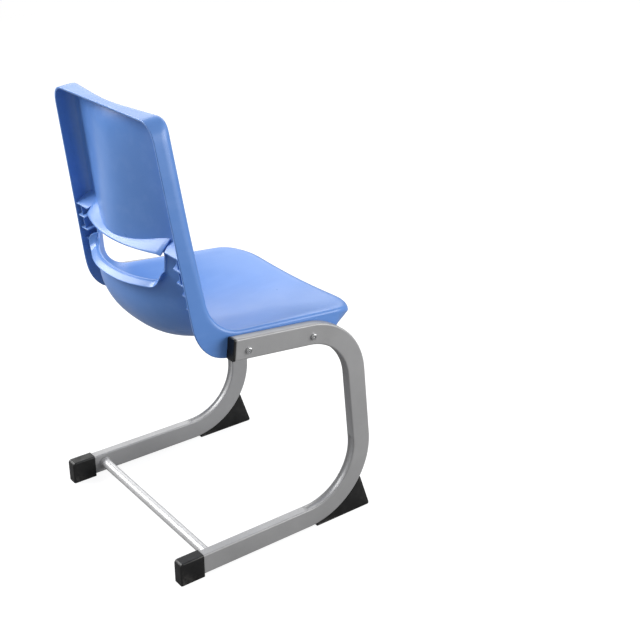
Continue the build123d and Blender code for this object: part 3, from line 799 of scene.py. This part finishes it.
def dent(distance, length):
    """Pressed-in inner wall of a bend, fading out just past its ends, with a pinch at each end."""
    groove = DENT_DEPTH * smoothstep((distance + DENT_PAST) / DENT_FADE)
    groove *= smoothstep((length + DENT_PAST - distance) / DENT_FADE)
    pinch = math.exp(-((distance + PINCH_PAST) / PINCH_LENGTH) ** 2)
    pinch += math.exp(-((distance - length - PINCH_PAST) / PINCH_LENGTH) ** 2)
    return groove + PINCH_DEPTH * pinch


def frame_stations():
    """(y, z, heading, dent) along the centreline, where dent is how far the inner wall is pressed in."""
    foot_length = FOOT_BEND[0] * FOOT_BEND[1]
    arm_length = ARM_BEND[0] * ARM_BEND[1]
    bends = [(RAIL_LENGTH, foot_length), (RAIL_LENGTH + foot_length + LEG_LENGTH, arm_length)]

    def dent_at(at):
        return sum(dent(at - start, length) for start, length in bends
                   if -DENT_REACH < at - start < length + DENT_REACH)

    stations = []
    y, z, heading, run = RAIL_START_Y, RAIL_Z, 0.0, 0.0
    for length, radius in ((RAIL_LENGTH, 0), (foot_length, FOOT_BEND[0]), (LEG_LENGTH, 0),
                           (arm_length, ARM_BEND[0]), (ARM_LENGTH, 0)):
        cuts = np.linspace(0, length, max(2, round(length / STATION_GAP) + 1))
        for at in cuts if not stations else cuts[1:]:
            if radius:
                a, b = heading, heading + at / radius
                here = (y - radius * (math.sin(b) - math.sin(a)), z + radius * (math.cos(a) - math.cos(b)))
            else:
                b = heading
                here = (y - at * math.cos(heading), z + at * math.sin(heading))
            stations.append((*here, b, dent_at(run + at)))
        y, z, heading = stations[-1][:3]
        run += length
    return stations


def tube_section():
    """(across, inward, press) round the tube: press is how much of the dent each point takes."""
    half, tall = TUBE_WIDTH / 2, TUBE_HEIGHT / 2
    centre_x, centre_y = half - TUBE_CORNER, tall - TUBE_CORNER
    flat_x, flat_y = centre_x - FLAT_INSET, centre_y - FLAT_INSET
    points = []

    def corner(x, y, start):
        for k in range(CORNER_POINTS):
            a = math.radians(start + 90 / (CORNER_POINTS - 1) * k)
            points.append((x + TUBE_CORNER * math.cos(a), y + TUBE_CORNER * math.sin(a), 0.0))

    corner(centre_x, centre_y, 0)
    points += [(x, tall, 1 - (abs(x) / DENT_HALF_WIDTH) ** DENT_FLATNESS) for x in DENT_POINTS]
    corner(-centre_x, centre_y, 90)
    points += [(-half, y, 0.0) for y in (flat_y, FLAT_POINT, -FLAT_POINT, -flat_y)]
    corner(-centre_x, -centre_y, 180)
    points += [(x, -tall, 0.0) for x in (-flat_x, 0.0, flat_x)]
    corner(centre_x, -centre_y, 270)
    points += [(half, y, 0.0) for y in (-flat_y, -FLAT_POINT, FLAT_POINT, flat_y)]
    return points


def frame_piece(name, side):
    """Bent tube with the pressed-in inner wall that bending leaves."""
    stations, section = frame_stations(), tube_section()
    verts = []
    for y, z, heading, pressed in stations:
        for across, inward, press in section:
            n = inward - pressed * press
            at = (side * (FRAME_X + across), y + math.sin(heading) * n, z + math.cos(heading) * n)
            verts.append(Vector(at) * MM)
    tube = new_object(f"{name}_bent_tube", verts, row_faces(len(stations), len(section)))
    for end in tube.data.polygons[-2:]:
        end.use_smooth = False
    finish_piece(tube, PAINT, f"{name}_side_frame")


def weld_piece(name, side):
    """Rippled fillet weld where the cross tube meets a floor rail."""
    low, high = node_box_mm(f"{name}_cross_tube_weld")
    centre = (low + high) / 2
    face_x = x_reach(low, high)[1]
    around, section = BEAD_STEPS
    verts = []
    for k in range(around):
        angle = 2 * math.pi * k / around
        # short ripples of the weld pool on a slow swell
        ripple = 0.30 * abs(math.sin(11 * angle + side)) + 0.18 * math.sin(3 * angle + 2 * side)
        bead = BEAD_RADIUS + ripple
        major = CROSS_RADIUS + BEAD_LIFT + 0.15 * math.sin(2 * angle)
        for p in range(section):
            a = 2 * math.pi * p / section
            out = min(bead * math.cos(a), BEAD_OUT_LIMIT)
            x = face_x - BEAD_BACK + min(bead * math.sin(a), BEAD_FACE_LIMIT)
            verts.append(turned(side * x, centre, major + out, angle))
    weld = new_object(f"{name}_weld_bead", verts, row_faces(around, section, closed=True))
    finish_piece(weld, PAINT, f"{name}_cross_tube_weld")


# ---------------------------------------------------------------- CAD nodes that stay

def dress(node, material, bevel=0.0):
    """Gives a CAD node its material, and softened edges where it is moulded."""
    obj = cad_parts[node]
    obj.data.materials.clear()
    obj.data.materials.append(material)
    if bevel:
        modifier(obj, "WELD", merge_threshold=0.02 * MM)
        modifier(obj, "BEVEL", width=bevel * MM, segments=3, limit_method="ANGLE",
                 angle_limit=math.radians(35), harden_normals=False)


shell_piece()
lip_piece()
ledge_piece()
# the cross tube's lighter paint is painted highlight
dress("rear_cross_tube", TUBE_PAINT_PAINTED_HIGHLIGHT)
for name, side in SIDES.items():
    ribs_piece(name, side)
    boss_piece(name, side)
    frame_piece(name, side)
    weld_piece(name, side)
    dress(f"{name}_rear_foot_cap", BLACK, 1.0)
    dress(f"{name}_wedge_foot", BLACK, 0.8)
    dress(f"{name}_arm_end_plug", BLACK)
    dress(f"{name}_wedge_foot_screw", ZINC)
    for where in ("rear", "front"):
        dress(f"{name}_{where}_seat_bolt", ZINC)
        dress(f"{name}_{where}_seat_insert", BRASS)


# ---------------------------------------------------------------- stage, light and camera

# Lengths in this section are metres, but the camera's lens and sensor are millimetres.
FLOOR_REACH = 30.0
FLOOR_GLOW = 0.87             # seen by the camera only
SKY_LIGHT = 0.50              # what lights the chair
SKY_SEEN = 0.98               # what the camera sees
LIGHT_TARGET = Vector((0, 0, 0.5))
CAMERA_PLACE = Vector((-1.64293, 1.00259, 1.25735))
CAMERA_AZIMUTH = math.radians(232.403)
CAMERA_ELEVATION = math.radians(24.586)
CAMERA_ROLL = math.radians(0.2)
CAMERA_LENS = 62.78
SENSOR_WIDTH = 36.0
CLIP_END = 200


def floor_material():
    """Pale floor. It glows a little to the camera only, so that it reads as an even studio sweep."""
    n = Nodes("studio_floor")
    seen = n.node("LightPath").outputs["Is Camera Ray"]
    pale = n.mix(n.patches(0.0, 1.0, 1.5, 2.0), rgb(0.24, 0.24, 0.242), rgb(0.26, 0.26, 0.262))
    return n.surface(Base_Color=pale, Roughness=0.9, Specular_IOR_Level=0.0,
                     Emission_Color=rgb(1.0, 1.0, 1.0),
                     Emission_Strength=n.math("MULTIPLY", seen, FLOOR_GLOW))


def studio_floor():
    """One flat square under the chair."""
    corners = [(-1, -1), (1, -1), (1, 1), (-1, 1)]
    mesh = bpy.data.meshes.new("floor")
    mesh.from_pydata([(FLOOR_REACH * x, FLOOR_REACH * y, 0) for x, y in corners], [], [(0, 1, 2, 3)])
    mesh.materials.append(floor_material())
    floor = bpy.data.objects.new("floor", mesh)
    bpy.context.scene.collection.objects.link(floor)


def studio_sky():
    """White surroundings, dimmer as light than they look to the camera."""
    world = bpy.data.worlds.new("studio")
    bpy.context.scene.world = world
    world.use_nodes = True
    tree = world.node_tree
    background = tree.nodes["Background"]
    background.inputs["Color"].default_value = rgb(1.0, 1.0, 1.0)
    seen = tree.nodes.new("ShaderNodeLightPath").outputs["Is Camera Ray"]
    glow = tree.nodes.new("ShaderNodeMapRange")
    glow.inputs["To Min"].default_value = SKY_LIGHT
    glow.inputs["To Max"].default_value = SKY_SEEN
    tree.links.new(seen, glow.inputs["Value"])
    tree.links.new(glow.outputs["Result"], background.inputs["Strength"])


def softbox(name, direction, distance, size, power):
    """Rectangular soft light that looks at the chair from a direction."""
    data = bpy.data.lights.new(name, "AREA")
    data.shape = "RECTANGLE"
    data.size, data.size_y = size
    data.energy = power
    light = bpy.data.objects.new(name, data)
    toward = Vector(direction).normalized()
    light.location = LIGHT_TARGET + toward * distance
    light.rotation_euler = toward.to_track_quat("Z", "Y").to_euler()
    bpy.context.scene.collection.objects.link(light)


def photo_camera():
    """Camera at the photograph's angle: behind the chair, to the sitter's right, looking down."""
    level = math.cos(CAMERA_ELEVATION)
    back = Vector((math.sin(CAMERA_AZIMUTH) * level, -math.cos(CAMERA_AZIMUTH) * level,
                   math.sin(CAMERA_ELEVATION)))
    across = (-back).cross(Vector((0, 0, 1))).normalized()
    upward = across.cross(-back)
    right = math.cos(CAMERA_ROLL) * across + math.sin(CAMERA_ROLL) * upward
    up = -math.sin(CAMERA_ROLL) * across + math.cos(CAMERA_ROLL) * upward
    data = bpy.data.cameras.new("camera")
    data.sensor_width = SENSOR_WIDTH
    data.lens = CAMERA_LENS
    data.clip_end = CLIP_END
    camera = bpy.data.objects.new("camera", data)
    turn = Matrix((right, up, back)).transposed().to_4x4()
    camera.matrix_world = Matrix.Translation(CAMERA_PLACE) @ turn
    bpy.context.scene.collection.objects.link(camera)
    bpy.context.scene.camera = camera


studio_floor()
studio_sky()
softbox("key", (0.68, 0.48, 0.52), 3.2, (2.3, 1.9), 118)
softbox("front", (0.72, -0.60, 0.46), 3.4, (3.2, 1.8), 29)
softbox("fill", (-1.0, -1.0, 0.36), 3.4, (2.4, 2.2), 86)
photo_camera()
view = bpy.context.scene.view_settings
view.view_transform = "Standard"
view.look = "None"
view.exposure = 0.0
